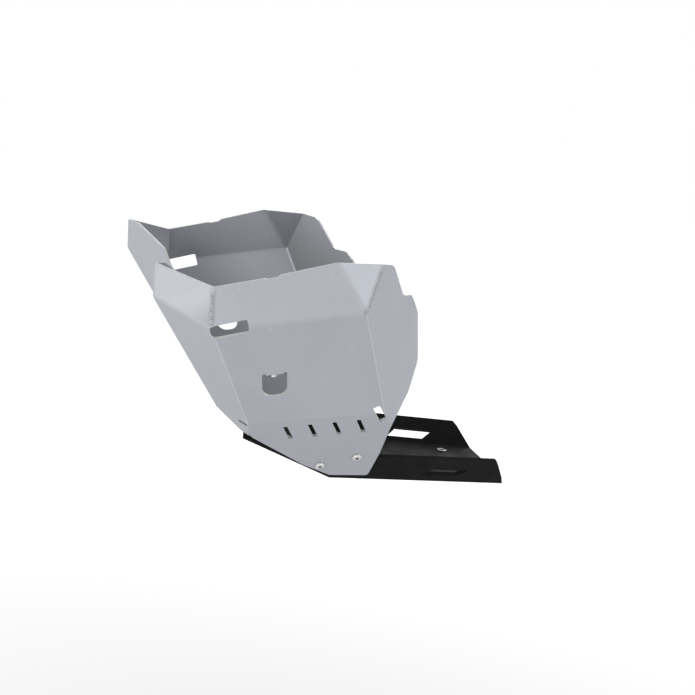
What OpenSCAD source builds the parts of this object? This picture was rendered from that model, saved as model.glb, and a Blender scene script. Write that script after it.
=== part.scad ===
// Skid plate for a motorcycle: two folded aluminium side guards joined by a centre panel,
// closed below by a black plastic belly plate that is screwed to the guards' lower tabs.
// Millimetres. X runs to the rear, Y to the right-hand side, Z up from the belly plate's underside.
// The origin is the centre of the belly plate's four fixing holes, on its underside.

/* [Overall] */
// part length from the front corners to the belly plate's rear end
part_len = 528; // [500:2:560]
// half width at the wing's rear lower corner, the widest place
wide_half = 258; // [240:1:275]
// height of that corner
wide_z = 252.6; // [240:0.2:275]
// aluminium sheet thickness
sheet_t = 4; // [3:0.5:5]
// belly plate thickness
plate_t = 8; // [6:1:9]

/* [Front corners and upper side panel] */
// how far the front corners stand above the widest corner
front_up = 26.4; // [20:0.2:32]
// half width at the front corners, as a part of the widest half width
front_part = 0.7752; // [0.75:0.0001:0.79]
// height of the front edge down to its fold
front_edge = 40.4; // [36:0.2:44]
// rearward lean of the front edges for each mm down
front_lean = 0.0743; // [0:0.0001:0.1]
// distance of the front welded seam behind the front corners
seam_x = 66.5; // [60:0.5:72]
// half width at the front welded seam, as a part of the widest half width
seam_part = 0.969; // [0.955:0.001:0.98]
// how far the front seam's top end stands above the widest corner
seam_up = 12.4; // [8:0.2:16]
// length of the front seam
seam_len = 50.4; // [46:0.2:54]

/* [Wing and rear panel] */
// distance of the wing's rear lower corner behind the front corners
wide_x = 251.7; // [248:0.1:256]
// distance of the rear welded seam's top end behind the wing's rear lower corner
top_back = 16.5; // [13:0.5:20]
// half width at the rear seam's top end, as a part of the widest half width
top_part = 0.9457; // [0.93:0.0001:0.96]
// how far the rear seam's top end stands above the widest corner
top_up = 58.5; // [54:0.5:63]

/* [Lower panels] */
// distance of the ridge's lower end behind the front corners
ridge_x = 102.1; // [98:0.1:106]
// half width at the ridge's lower end, as a part of the widest half width
ridge_part = 0.5814; // [0.57:0.0001:0.595]
// height of the ridge's lower end
ridge_z = 98.9; // [96:0.1:102]
// distance of the lower side fold's front end behind the front corners
fold_x = 139.8; // [137:0.1:142]
// distance of the lower side fold's rear end behind the front corners
fold_rear_x = 314.7; // [310:0.1:318]
// half width of the centre panel between the cheeks, as a part of the widest half width
centre_part = 0.3876; // [0.37:0.0001:0.41]
// width of the centre panel's notch
notch_w = 70; // [50:2:90]
// depth of the centre panel's notch
notch_h = 30; // [16:1:34]

/* [Belly plate] */
// half width of the belly plate's underside at the ramp's foot, as a part of the widest half width
belly_part = 0.38915; // [0.38:0.0001:0.4]
// narrowing of the belly plate for each mm to the rear
belly_taper = 0.0947; // [0.07:0.0001:0.11]
// height at which its sloping side rails would reach the widest half width
rail_reach = 219.4; // [212:0.2:226]
// height of the side rails' top edge
rail_z = 36.5; // [30:0.5:38]
// distance of the nose ramp's foot behind the front corners
ramp_x = 274; // [270:1:278]
// rise of the nose ramp for each mm forward
ramp_rise = 0.46; // [0.44:0.005:0.48]
// length of the nose ramp from its foot to the front lip
ramp_len = 133; // [128:1:136]

/* [Openings] */
// distance of the window's middle behind the front seam's lower end
window_back = 74.2; // [70:0.2:78]
// place of the window's top edge down the side panel, as a part of the panel's height there
window_part = 0.5054; // [0.48:0.0001:0.53]
// width of the U-shaped side window
window_w = 31; // [26:0.5:32]
// depth of the U-shaped side window
window_h = 36; // [30:0.5:38]
// lower corner radius of the window
window_r = 13; // [8:0.5:14]
// pitch of the lower slots
slot_pitch = 31.4; // [30:0.2:32]
// width of the lower slots
slot_w = 6.2; // [4:0.2:8]
// depth of the lower slots down the strip
slot_h = 25.8; // [20:0.2:28]
// length of the opening at the foot of the front seam
relief_len = 45; // [40:1:48]
// height of the opening at the foot of the front seam
relief_h = 17.2; // [12:0.2:18]

/* [Fasteners] */
// thread diameter of the tab and flap screws
screw_d = 6; // [5:0.5:6]
// distance of the front fixing holes behind the nose ramp's foot
hole_front = 51; // [40:1:60]
// distance of the rear fixing holes from the belly plate's rear end
hole_rear = 53; // [40:1:60]
// spacing of the four fixing holes across the part
hole_dy = 90; // [80:1:100]
// bore of the fixing bushes
bush_bore = 8.5; // [8.5:0.5:9]
// outer diameter of the fixing bushes
bush_body = 14; // [12:1:16]
// flange diameter of the fixing bushes
bush_flange = 26; // [22:1:30]
// flange thickness of the fixing bushes
bush_step = 3; // [2:0.5:3]
// outer diameter of the spacers on the flaps
spacer_d = 16; // [14:1:18]

/* [Hidden] */
$fn = 32;
eps = 0.01;
hole_x = (ramp_x + hole_front + part_len - hole_rear) / 2;
hole_dx = part_len - hole_rear - ramp_x - hole_front;
floor_len = part_len - ramp_x;
front_half = front_part * wide_half;
seam_half = seam_part * wide_half;
top_half = top_part * wide_half;
ridge_half = ridge_part * wide_half;
centre_half = centre_part * wide_half;
belly_half = belly_part * wide_half;
rail_slope = (wide_half - belly_half) / rail_reach;
front_z = wide_z + front_up;
seam_z = wide_z + seam_up;
top_z = wide_z + top_up;
top_x = wide_x + top_back;
lip_x = ramp_x - ramp_len;
alu = [0.72, 0.74, 0.76];
alu_weld = [0.66, 0.67, 0.69];
black = [0.06, 0.06, 0.065];
zinc = [0.78, 0.78, 0.8];

// plane and vector helpers
function unit(v) = v / norm(v);
inside = [230, 0, 200];
function inward(a, b, c) = let (n = unit(cross(b - a, c - a))) n * (inside - a) > 0 ? n : -n;
// point with the two given values on the plane through a, b, c
function at_xz(a, b, c, x, z) = let (n = inward(a, b, c))
    [x, a.y - (n.x * (x - a.x) + n.z * (z - a.z)) / n.y, z];
function at_yz(a, b, c, y, z) = let (n = inward(a, b, c))
    [a.x - (n.y * (y - a.y) + n.z * (z - a.z)) / n.x, y, z];
// point on the line p + s*d where it meets the plane through a, b, c moved inward by off
function meet(p, d, a, b, c, off = 0) = let (n = inward(a, b, c))
    p + d * ((off - n * (p - a)) / (n * d));
function along(a, b, s) = a + (b - a) * s;

// corner points of the left half, on the outer faces
a1 = [0, -front_half, front_z];
a2 = a1 + front_edge * [front_lean, 0, -1];
b1 = [seam_x, -seam_half, seam_z];
b2 = b1 + seam_len * [front_lean, 0, -1];
d2 = [wide_x, -wide_half, wide_z];
d1 = [top_x, -top_half, top_z];
r1 = [ridge_x, -ridge_half, ridge_z];

// outer face of the belly plate's rail, and of the guard's strip one sheet outside it
function rail_y(x, z) = -(belly_half + belly_taper * (ramp_x - 8 - x) + rail_slope * z);
rail_n = sqrt(1 + pow(belly_taper, 2) + pow(rail_slope, 2));
function strip_y(x, z) = rail_y(x, z) - sheet_t * rail_n;
q0 = [200, strip_y(200, 0), 0];
q1 = [330, strip_y(330, 0), 0];
q2 = [330, strip_y(330, 60), 60];

// lower front fold corner: on the front side plane and on the strip plane
s1_0 = at_xz(q0, q1, q2, fold_x, 86);
strip_dir = [0, -rail_slope, 1];
s1 = meet(s1_0, strip_dir, a2, b2, r1);
s2_0 = [fold_rear_x, strip_y(fold_rear_x, 100), 100];
s2 = meet(s2_0, strip_dir, b2, d2, s1);
rear_edge_d = cross(inward(d1, d2, s2), inward(q0, q1, q2));
e1 = s2 + rear_edge_d * ((92 - s2.z) / rear_edge_d.z);

// cheeks at the front: upper plane through the front edge, lower plane down the ridge
cheek_in = a1 + [14, 0.106 * front_half, -1.4];
cheek_x1 = at_yz(a1, a2, cheek_in, -0.7565 * front_half, front_z - 60.5);
xc = along(a2, cheek_x1, (front_half - centre_half) / (front_half + cheek_x1.y));
t3 = cheek_in;
t4 = at_yz(a1, a2, cheek_in, -0.6425 * front_half, front_z - 27.3);
t5 = at_yz(a1, a2, cheek_in, -0.5905 * front_half, front_z - 46.1);
tn = at_yz(a1, a2, cheek_in, -centre_half, xc.z + 12);
c1 = at_yz(a2, cheek_x1, r1, -centre_half, ridge_z);

// belly plate planes: underside of the ramp and of the rails
p0 = [ramp_x, 0, 0];
p1 = [ramp_x, 50, 0];
p2 = [ramp_x - 100, 0, 100 * ramp_rise];
g0 = [200, rail_y(200, 0), 0];
g1 = [330, rail_y(330, 0), 0];
g2 = [330, rail_y(330, 60), 60];
lip_z = (ramp_x - lip_x) * ramp_rise;

// nose flange and front wedge of the guard, down to the belly plate's upper face
function ramp_top(x) = (ramp_x - x) * ramp_rise + plate_t * sqrt(1 + ramp_rise * ramp_rise);
wedge_x = lip_x + 8;
m1 = [wedge_x, strip_y(wedge_x, ramp_top(wedge_x)), ramp_top(wedge_x)];
wedge_n = inward(r1, s1, m1);
ridge_dir = [34.4, -(wedge_n.x * 34.4 - wedge_n.z * 27.9) / wedge_n.y, -27.9];
r2 = meet(r1, ridge_dir, p0, p1, p2, plate_t);
flange_dir = ridge_dir - (c1 - r1) * (ridge_dir.y / (c1.y - r1.y));
c2 = meet(c1, flange_dir, p0, p1, p2, plate_t);

// wing's top edge: distance before the rear seam's top end, and below it
wing_cut = [[172.3, 38], [142.8, 29.8], [139, 30.1], [127.8, 26.9], [123.7, 23.2], [60, 2.3]];
wing_top = [for (p = wing_cut) at_xz(b1, b2, d2, top_x - p.x, top_z - p.y)];
k1 = wing_top[len(wing_top) - 1];

// rear panel's free edge, from the seam's top end round to the lower corner: distance behind
// that end, and below it; the last two are parts of the widest corner's height
rear_cut = [[15.5, 2.1], [20.3, 5.7], [42.9, 41], [46.7, 42.9], [59.1, 43.4], [67.3, 53.2], [76.9, 67.8]];
rear_low = [[93, 0.7], [84.3, 0.5372]];
rear_edge = concat([for (p = rear_cut) at_xz(d1, d2, s2, top_x + p.x, top_z - p.y)],
    [for (p = rear_low) at_xz(d1, d2, s2, top_x + p.x, wide_z * p.y)]);

// tab edge under the strip, from the front bottom corner round to the rear
tab_cut = [[-43.4, 22.6], [-2.3, 6.6], [50.4, 8.6], [54.6, 47.5]];
tab_edge = [for (p = tab_cut) at_xz(q0, q1, q2, ramp_x + p.x, p.y)];

// placing frame with its origin at o, Z along n and X along u
function frame_of(o, n, u) = let (v = cross(n, u))
    [[u.x, v.x, n.x, o.x], [u.y, v.y, n.y, o.y], [u.z, v.z, n.z, o.z], [0, 0, 0, 1]];

// folded sheet: flat faces grown inward by t, with mitred folds. Each face is a list of outer
// points whose first point sees all the others.
function newell(f) = [for (k = [0:2]) let (i = (k + 1) % 3, j = (k + 2) % 3)
    sum([for (q = [0:len(f) - 1]) let (u = f[q], v = f[(q + 1) % len(f)]) (u[i] - v[i]) * (u[j] + v[j])])];
function sum(v, i = 0) = i >= len(v) ? 0 : v[i] + sum(v, i + 1);
function vsum(v, i = 0) = i >= len(v) ? [0, 0, 0] : v[i] + vsum(v, i + 1);
function flip(f) = concat([f[0]], [for (i = [len(f) - 1:-1:1]) f[i]]);
function inner_normal(f, c) = let (n = unit(newell(f))) n * (c - f[0]) > 0 ? n : -n;
function turned(f, c) = newell(f) * inner_normal(f, c) > 0 ? f : flip(f);
function at_point(a, b) = norm(a - b) < 0.0001;
function outer3(n) = [n.x * n, n.y * n, n.z * n];
function grow(p, ns, t) = len(ns) == 1 ? p + t * ns[0]
    : len(ns) == 2 ? p + t * (ns[0] + ns[1]) / (1 + ns[0] * ns[1])
    : let (m = [vsum([for (n = ns) outer3(n)[0]]), vsum([for (n = ns) outer3(n)[1]]),
        vsum([for (n = ns) outer3(n)[2]])], b = t * vsum(ns), d = m[0] * cross(m[1], m[2]))
        p + (b.x * cross(m[1], m[2]) + b.y * cross(m[2], m[0]) + b.z * cross(m[0], m[1])) / d;

module shell(faces, t, c = inside) {
    fs = [for (f = faces) turned(f, c)];
    ns = [for (f = fs) inner_normal(f, c)];
    all = [for (f = fs) for (p = f) p];
    pts = [for (i = [0:len(all) - 1])
        if (len([for (j = [0:1:i - 1]) if (at_point(all[i], all[j])) 1]) == 0) all[i]];
    n = len(pts);
    function id(p) = [for (i = [0:n - 1]) if (at_point(pts[i], p)) i][0];
    idx = [for (f = fs) [for (p = f) id(p)]];
    back = [for (i = [0:n - 1]) grow(pts[i],
        [for (k = [0:len(fs) - 1]) if (len(search(i, idx[k])) > 0) ns[k]], t)];
    edges = [for (f = idx) for (i = [0:len(f) - 1]) [f[i], f[(i + 1) % len(f)]]];
    rim = [for (e = edges) if (len([for (g = edges) if (g[0] == e[1] && g[1] == e[0]) 1]) == 0) e];
    polyhedron(concat(pts, back), concat(idx, [for (f = idx) [for (i = flip(f)) i + n]],
        [for (e = rim) [e[1], e[0], e[0] + n, e[1] + n]]), convexity = 6);
}

// children placed on a plane: Z inward, X along a to b, Y down the panel
module on_plane(a, b, c, o) {
    multmatrix(frame_of(o, inward(a, b, c), unit(b - a))) children();
}

module place() { translate([-hole_x, 0, 0]) children(); }

module mirrored() { mirror([0, 1, 0]) children(); }

// screw positions on the tab, counted from the ramp's foot
tab_x = [-20.4, 25.8];
tab_z = [22.1, 39.1];
function tab_pos(i) = at_xz(q0, q1, q2, ramp_x + tab_x[i], tab_z[i]);
module at_tab(i) on_plane(q0, q1, q2, tab_pos(i)) children();

// window frame: X along the side fold, Y down the side panel, origin at the top middle
side_u = unit(d2 - b2);
side_n = inward(b2, d2, s1);
side_v = cross(side_n, side_u);
side_h = (along(s1, s2, 0.25) - b2) * side_v;
win_o = b2 + side_u * window_back + side_v * window_part * side_h;
module at_window() multmatrix(frame_of(win_o, side_n, side_u)) children();

module window_shape() {
    hw = window_w / 2;
    translate([-hw, 0]) square([window_w, window_h - window_r]);
    translate([-hw + window_r, window_h - window_r - eps]) square([window_w - 2 * window_r, window_r + eps]);
    for (s = [-1, 1]) translate([s * (hw - window_r), window_h - window_r]) circle(window_r);
    for (s = [-1, 1]) translate([s * (hw - 2.5), 0]) circle(2.5);
}

// flap bent in from the window's top edge, level, with its screw hole
flap_w = window_w - 11;
flap_len = 27;
flap_u = side_u;
flap_n = unit(cross(side_u, [0, 1, 0]));
flap_up = flap_n.z > 0 ? flap_n : -flap_n;
flap_dir = cross(flap_up, flap_u).y > 0 ? cross(flap_up, flap_u) : -cross(flap_up, flap_u);
flap_mid = win_o + flap_dir * (flap_len * 0.55);
module at_flap() multmatrix(frame_of(flap_mid, flap_up, flap_u)) children();

module flap() {
    l = flap_len;
    at_flap() translate([-flap_w / 2, sheet_t / 10 - l * 0.55, 0]) cube([flap_w, l, sheet_t]);
}

// cutter through a fold: the plane's normal is halfway between the two panels'
module across(o, na, nb, u) {
    n = unit(na + nb);
    uu = unit(u - n * (u * n));
    multmatrix(frame_of(o - 12 * n, n, uu)) children();
}

module slots() {
    strip_u = unit(s2 - s1);
    strip_n = inward(q0, q1, q2);
    // four lower slots
    multmatrix(frame_of(s1 - 2 * strip_n, strip_n, strip_u))
        for (i = [0:3]) translate([45.3 + slot_pitch * i, 12.2 - 1.1 * i, 0])
            linear_extrude(sheet_t + 6) slot_shape(slot_w, slot_h, 0.4 * slot_h);
    // rear slot across the fold
    across(s1 + strip_u * 159.3, strip_n, side_n, strip_u)
        translate([0, -10, 0]) linear_extrude(30) polygon([[0, 0], [8.6, -4.6], [20.5, 20.5], [12.2, 25]]);
    // small slot at the front side panel's foot
    foot_o = along(r1, s1, 0.805);
    across(at_yz(a2, b2, r1, foot_o.y, foot_o.z - 2.6), inward(a2, b2, r1), wedge_n, unit(s1 - r1))
        rotate(6) translate([-6, -2.2, 0]) linear_extrude(30) square([12, 4.4]);
}

module slot_shape(w, h, slant) {
    polygon([[0.8, 0], [w - 0.6, 0], [w + 0.6, 1.2], [w + slant, h - 0.8], [w + slant - 0.8, h],
        [slant + 0.6, h], [slant - 0.6, h - 1.2], [0, 0.8]]);
}

module relief() {
    across(b2, inward(b1, b2, d2), side_n, side_u)
        rotate(-5.5) translate([-1, -3.4, 0]) linear_extrude(30)
            polygon([[1.6, 0], [relief_len - 2, 0], [relief_len, 2], [relief_len, relief_h - 2],
                [relief_len - 2, relief_h], [1.6, relief_h], [0, relief_h - 2], [0, 2]]);
}

guard_faces = [
    [a2, a1, t3, t4, t5, tn, xc],
    [a2, xc, c1, r1],
    [r1, c1, c2, r2],
    [a1, a2, b2, b1],
    [a2, b2, s1, r1],
    [r1, s1, m1, r2],
    concat([b2, b1], wing_top, [d2]),
    [k1, d1, d2],
    [b2, d2, s2, s1],
    concat([d2, d1], rear_edge, [e1, s2]),
    concat([s1, m1], tab_edge, [e1, s2])];

module guard_sheet() {
    difference() {
        shell(guard_faces, sheet_t);
        at_window() translate([0, 0, -4]) linear_extrude(sheet_t + 8) window_shape();
        slots();
        relief();
        for (i = [0, 1]) at_tab(i) translate([0, 0, -2]) cylinder(d = screw_d + 0.5, h = sheet_t + 4);
    }
}

module guard() difference() {
    union() {
        guard_sheet();
        flap();
    }
    at_flap() translate([0, 0, -1]) cylinder(d = screw_d + 0.6, h = sheet_t + 2);
}

// centre panel between the cheeks, with a shallow notch for the frame tube
cu = [xc.x, 0, xc.z];
function other(p) = [p.x, -p.y, p.z];
module centre_sheet() shell([[xc, c1, other(c1), other(xc)], [c1, c2, other(c2), other(c1)]], sheet_t);
module centre_panel() place() color(alu) {
    n = inward(xc, c1, other(c1));
    difference() {
        centre_sheet();
        multmatrix(frame_of(cu - 2 * n, n, [0, 1, 0])) linear_extrude(sheet_t + 4)
            translate([-notch_w / 2, -notch_h]) square([notch_w, 2 * notch_h]);
        for (s = [-1, 1]) nose_at(s) translate([0, 0, -30]) cylinder(d = screw_d + 0.5, h = 60);
    }
}

// nose screw positions on the ramp
nose_x = c2.x + 18.5;
nose_y = 0.55 * centre_half;
function nose_o(s) = [nose_x, s * nose_y, (ramp_x - nose_x) * ramp_rise];
module nose_at(s) multmatrix(frame_of(nose_o(s), inward(p0, p1, p2), [0, 1, 0])) children();

module left_guard() place() color(alu) guard();
module right_guard() place() color(alu) mirrored() guard();

// belly plate: floor, side rails and nose ramp as one moulded piece
end_b = part_len;
end_t = part_len - 18;
function rail_p(x, z) = [x, rail_y(x, z), z];
function ramp_p(x, y) = [x, y, (ramp_x - x) * ramp_rise];
function others(f) = [for (p = f) other(p)];
foot = rail_p(ramp_x, 0);
nose = rail_p(lip_x, lip_z);
tail = rail_p(end_b, 0);
lip_mid = ramp_p(lip_x + 10, -centre_half);
rail_face = [foot, tail, rail_p(end_t, rail_z - 6), rail_p(end_t - 6, rail_z), rail_p(ramp_x - 36, rail_z),
    rail_p(lip_x + 35, lip_z + 4.8), rail_p(lip_x + 25, lip_z - 5.2), nose];
module belly_shell() shell([[foot, tail, other(tail), other(foot)],
    [foot, nose, lip_mid, other(lip_mid), other(nose), other(foot)], rail_face, others(rail_face)], plate_t,
    [ramp_x, 0, 150]);

module belly_plate() place() color(black) difference() {
    belly_shell();
    for (k = [0, 1]) mirror([0, k, 0]) {
        for (i = [0, 1]) at_tab(i) cylinder(d = screw_d + 0.5, h = 40);
        // slot in the rail
        multmatrix(frame_of(rail_p(ramp_x + floor_len / 2 + 1, 9.2), inward(g0, g1, g2), unit(g1 - g0)))
            translate([0, 0, -4]) linear_extrude(plate_t + 8) rail_slot(0.209 * floor_len);
    }
    for (s = [-1, 1]) nose_at(s) {
        translate([0, 0, -4]) cylinder(d = screw_d + 0.5, h = 40);
        translate([0, 0, -eps]) cylinder(d1 = 13, d2 = screw_d + 0.5, h = 3.25);
    }
    for (x = [-0.5, 0.5], y = [-0.5, 0.5]) translate([hole_x + x * hole_dx, y * hole_dy, 0]) {
        translate([0, 0, -4]) cylinder(d = bush_body, h = plate_t + 8);
        translate([0, 0, -eps]) cylinder(d = bush_flange, h = bush_step + eps);
    }
}

module rail_slot(w) {
    polygon([[0, 0], [w, 0], [w + 15, -14], [13, -14]]);
}

// weld beads laid on the outside of the corner seams
// the bead's centre line lies a little outside the corner, away from the two sheets
module bead(a, b, r, na, nb) {
    d = unit(b - a);
    u = unit(cross(d, [0.3, 0.9, 0.1]));
    multmatrix(frame_of(a - 0.5 * unit(na + nb), d, u)) cylinder(r = r, h = norm(b - a));
}

module front_bead() difference() {
    bead(along(b1, b2, 0.02), along(b1, b2, 0.9), 2.6, inward(a1, a2, b1), inward(b1, b2, d2));
    shell(guard_faces, sheet_t + 2);
}

module rear_bead() difference() {
    bead(along(d1, d2, 0.03), along(d1, d2, 0.97), 2.6, inward(k1, d1, d2), inward(d1, d2, s2));
    shell(guard_faces, sheet_t + 2);
}

module centre_bead() difference() {
    bead(along(xc, c1, 0.02), along(xc, c1, 0.98), 2.6, inward(a2, xc, r1), inward(xc, c1, other(c1)));
    shell(guard_faces, sheet_t);
    centre_sheet();
}

module front_weld_left() place() color(alu_weld) front_bead();
module front_weld_right() place() color(alu_weld) mirrored() front_bead();
module rear_weld_left() place() color(alu_weld) rear_bead();
module rear_weld_right() place() color(alu_weld) mirrored() rear_bead();
module centre_weld_left() place() color(alu_weld) centre_bead();
module centre_weld_right() place() color(alu_weld) mirrored() centre_bead();

// button-head screw, head below z = 0, shank upward
module button_screw(len, d = screw_d) {
    difference() {
        union() {
            translate([0, 0, -1.4]) cylinder(d = 1.8 * d, h = 1.4);
            translate([0, 0, -3.3]) cylinder(d1 = 1.15 * d, d2 = 1.8 * d, h = 1.9);
            cylinder(d = d, h = len);
        }
        translate([0, 0, -3.4]) cylinder(d = 4.6, h = 2.2, $fn = 6);
    }
}

module washer(z) translate([0, 0, z]) difference() {
    cylinder(d = 2 * screw_d + 1, h = 1.6);
    translate([0, 0, -1]) cylinder(d = screw_d + 0.4, h = 4);
}

module hex_nut(z) translate([0, 0, z]) difference() {
    cylinder(d = 1.92 * screw_d, h = 5, $fn = 6);
    translate([0, 0, -1]) cylinder(d = screw_d, h = 8);
}

module each_tab() for (k = [0, 1]) mirror([0, k, 0]) for (i = [0, 1]) at_tab(i) children();
module each_flap() for (k = [0, 1]) mirror([0, k, 0]) at_flap() children();

grip = sheet_t + plate_t;
module tab_screws() place() color(zinc) each_tab() button_screw(grip + 9);
module tab_washers() place() color(zinc) each_tab() washer(grip);
module tab_nuts() place() color(zinc) each_tab() hex_nut(grip + 1.6);

spacer_h = 2 * screw_d;
module flap_screws() place() color(zinc) each_flap() button_screw(sheet_t + spacer_h + 8);
module flap_spacers() place() color(black) each_flap() translate([0, 0, sheet_t]) difference() {
    cylinder(d = spacer_d, h = spacer_h);
    translate([0, 0, -1]) cylinder(d = screw_d + 0.6, h = spacer_h + 2);
}
module flap_nuts() place() color(zinc) each_flap() hex_nut(sheet_t + spacer_h);

module nose_screws() place() color(zinc) for (s = [-1, 1]) nose_at(s) difference() {
    union() {
        cylinder(d1 = 12, d2 = screw_d, h = 3);
        cylinder(d = screw_d, h = plate_t + 8);
    }
    translate([0, 0, -1]) cylinder(d = 4.6, h = 3, $fn = 6);
}
module nose_nuts() place() color(zinc) for (s = [-1, 1]) nose_at(s) hex_nut(plate_t);

// stepped steel bushes in the belly plate's fixing holes
module mount_bushes() place() color(zinc)
    for (x = [-0.5, 0.5], y = [-0.5, 0.5]) translate([hole_x + x * hole_dx, y * hole_dy, 0]) difference() {
        union() {
            cylinder(d = bush_flange, h = bush_step);
            cylinder(d = bush_body, h = plate_t + 2);
        }
        translate([0, 0, -1]) cylinder(d = bush_bore, h = plate_t + 6);
    }

left_guard();
right_guard();
centre_panel();
belly_plate();
front_weld_left();
front_weld_right();
rear_weld_left();
rear_weld_right();
centre_weld_left();
centre_weld_right();
tab_screws();
tab_washers();
tab_nuts();
flap_screws();
flap_spacers();
flap_nuts();
nose_screws();
nose_nuts();
mount_bushes();
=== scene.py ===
"""Looks of the motorcycle skid plate: folded satin aluminium guards over a black belly plate."""

import math

import bmesh
import bpy
from mathutils import Matrix, Vector


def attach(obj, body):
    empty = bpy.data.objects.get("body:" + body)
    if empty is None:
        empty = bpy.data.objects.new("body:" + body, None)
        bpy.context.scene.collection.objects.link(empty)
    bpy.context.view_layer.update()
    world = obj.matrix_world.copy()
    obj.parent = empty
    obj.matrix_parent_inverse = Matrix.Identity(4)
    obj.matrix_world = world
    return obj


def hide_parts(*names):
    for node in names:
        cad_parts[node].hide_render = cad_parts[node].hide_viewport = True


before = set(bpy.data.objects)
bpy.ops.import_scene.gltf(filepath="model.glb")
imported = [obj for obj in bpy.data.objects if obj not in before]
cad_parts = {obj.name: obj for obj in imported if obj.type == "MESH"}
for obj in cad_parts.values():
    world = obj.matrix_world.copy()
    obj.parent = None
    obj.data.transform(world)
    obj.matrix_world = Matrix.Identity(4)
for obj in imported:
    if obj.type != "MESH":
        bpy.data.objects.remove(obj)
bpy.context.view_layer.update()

# sizes in millimetres, X counted from the front corners as in the part's own outline
MM = 0.001
# distance of the fixing holes' middle, which is the frame's origin, behind the front corners
HOLE_X = 400.0
SHEET = 4.0
PLATE = 8.0
# outer radius of a plain fold
BEND = 9.0
# a point between the guards, on the side that the sheet's inner face looks toward
INSIDE = Vector((230, 0, 200))

# camera, fitted to the photograph: angles in degrees, place in millimetres
CAMERA_AZ = -14.607
CAMERA_EL = 10.929
CAMERA_ROLL = 7.802
CAMERA_AT = Vector((-178.2, -1838.6, 525.0))
FOCAL_PX = 1400.0
FRAME_PX = 695.0
SENSOR = 36.0
CAMERA_REACH = 50


# vectors and planes

def vec(x, y, z):
    return Vector((x, y, z))


def inward(a, b, c):
    """Unit normal of the plane through a, b, c that looks into the part."""
    n = (b - a).cross(c - a).normalized()
    return n if n.dot(INSIDE - a) > 0 else -n


def at_xz(a, b, c, x, z):
    """Point with the given x and z on the plane through a, b, c."""
    n = inward(a, b, c)
    return vec(x, a.y - (n.x * (x - a.x) + n.z * (z - a.z)) / n.y, z)


def at_yz(a, b, c, y, z):
    """Point with the given y and z on the plane through a, b, c."""
    n = inward(a, b, c)
    return vec(a.x - (n.y * (y - a.y) + n.z * (z - a.z)) / n.x, y, z)


def meet(p, d, a, b, c, off=0.0):
    """Point of the line p + s * d on the plane through a, b, c moved inward by off."""
    n = inward(a, b, c)
    return p + d * ((off - n.dot(p - a)) / n.dot(d))


def along(a, b, s):
    return a + (b - a) * s


def to_frame(p):
    """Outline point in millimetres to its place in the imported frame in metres."""
    return vec((p.x - HOLE_X) * MM, p.y * MM, p.z * MM)


def from_frame(p):
    """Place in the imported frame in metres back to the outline's millimetres."""
    return vec(p.x / MM + HOLE_X, p.y / MM, p.z / MM)


# corner points of the left guard, on its outer face

# rearward lean of the front edge and the front seam for each millimetre down, and their heights
LEAN = 0.0743
FRONT_EDGE = 40.4
FRONT_SEAM = 50.4
front_top = vec(0, -200, 279)
front_low = front_top + FRONT_EDGE * vec(LEAN, 0, -1)
seam_top = vec(66.5, -250, 265)
seam_low = seam_top + FRONT_SEAM * vec(LEAN, 0, -1)
wing_corner = vec(251.7, -258, 252.6)
rear_top = vec(268.2, -244, 311.1)
ridge_turn = vec(102.1, -150, 98.9)

# belly plate: half width of its underside, narrowing to the rear, and slope of its side rails
BELLY_HALF = 100.4
BELLY_TAPER = 0.0947
RAIL_SLOPE = 0.7183
# foot of the nose ramp, its rise for each millimetre forward, and where the half width is measured
RAMP_X = 274.0
RAMP_RISE = 0.46
TAPER_X = RAMP_X - 8
# length of the rail's normal before it is scaled to one
RAIL_N = math.sqrt(1 + BELLY_TAPER ** 2 + RAIL_SLOPE ** 2)


def rail_y(x, z):
    """Outer face of the belly plate's left side rail."""
    return -(BELLY_HALF + BELLY_TAPER * (TAPER_X - x) + RAIL_SLOPE * z)


def strip_y(x, z):
    """Outer face of the guard's lower strip, one sheet outside the rail."""
    return rail_y(x, z) - SHEET * RAIL_N


def on_strip(x, z):
    return vec(x, strip_y(x, z), z)


def ramp_top(x):
    """Height of the nose ramp's upper face."""
    return (RAMP_X - x) * RAMP_RISE + PLATE * math.hypot(1, RAMP_RISE)


# the strip's plane by three points, the ends of the fold above it, and the strip's rear end
STRIP_REAR_Z = 92
strip_a = on_strip(200, 0)
strip_b = on_strip(330, 0)
strip_c = on_strip(330, 60)
strip_dir = vec(0, -RAIL_SLOPE, 1)
side_front = meet(on_strip(139.8, 86), strip_dir, front_low, seam_low, ridge_turn)
side_rear = meet(on_strip(314.7, 100), strip_dir, seam_low, wing_corner, side_front)
rear_dir = inward(rear_top, wing_corner, side_rear).cross(inward(strip_a, strip_b, strip_c))
strip_rear = side_rear + rear_dir * ((STRIP_REAR_Z - side_rear.z) / rear_dir.z)

# the cheek's top edge with its notch, and the centre panel's side below it
CENTRE_Y = -100
NOTCH_RISE = 12
cheek_step = front_top + vec(14, 21.2, -1.4)
cheek_fold = at_yz(front_top, front_low, cheek_step, -151.3, 218.5)
panel_share = (CENTRE_Y - front_low.y) / (cheek_fold.y - front_low.y)
panel_top = along(front_low, cheek_fold, panel_share)
cheek_rise = at_yz(front_top, front_low, cheek_step, -128.5, 251.7)
cheek_dip = at_yz(front_top, front_low, cheek_step, -118.1, 232.9)
cheek_end = at_yz(front_top, front_low, cheek_step, CENTRE_Y, panel_top.z + NOTCH_RISE)
panel_low = at_yz(front_low, cheek_fold, ridge_turn, CENTRE_Y, ridge_turn.z)

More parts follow.
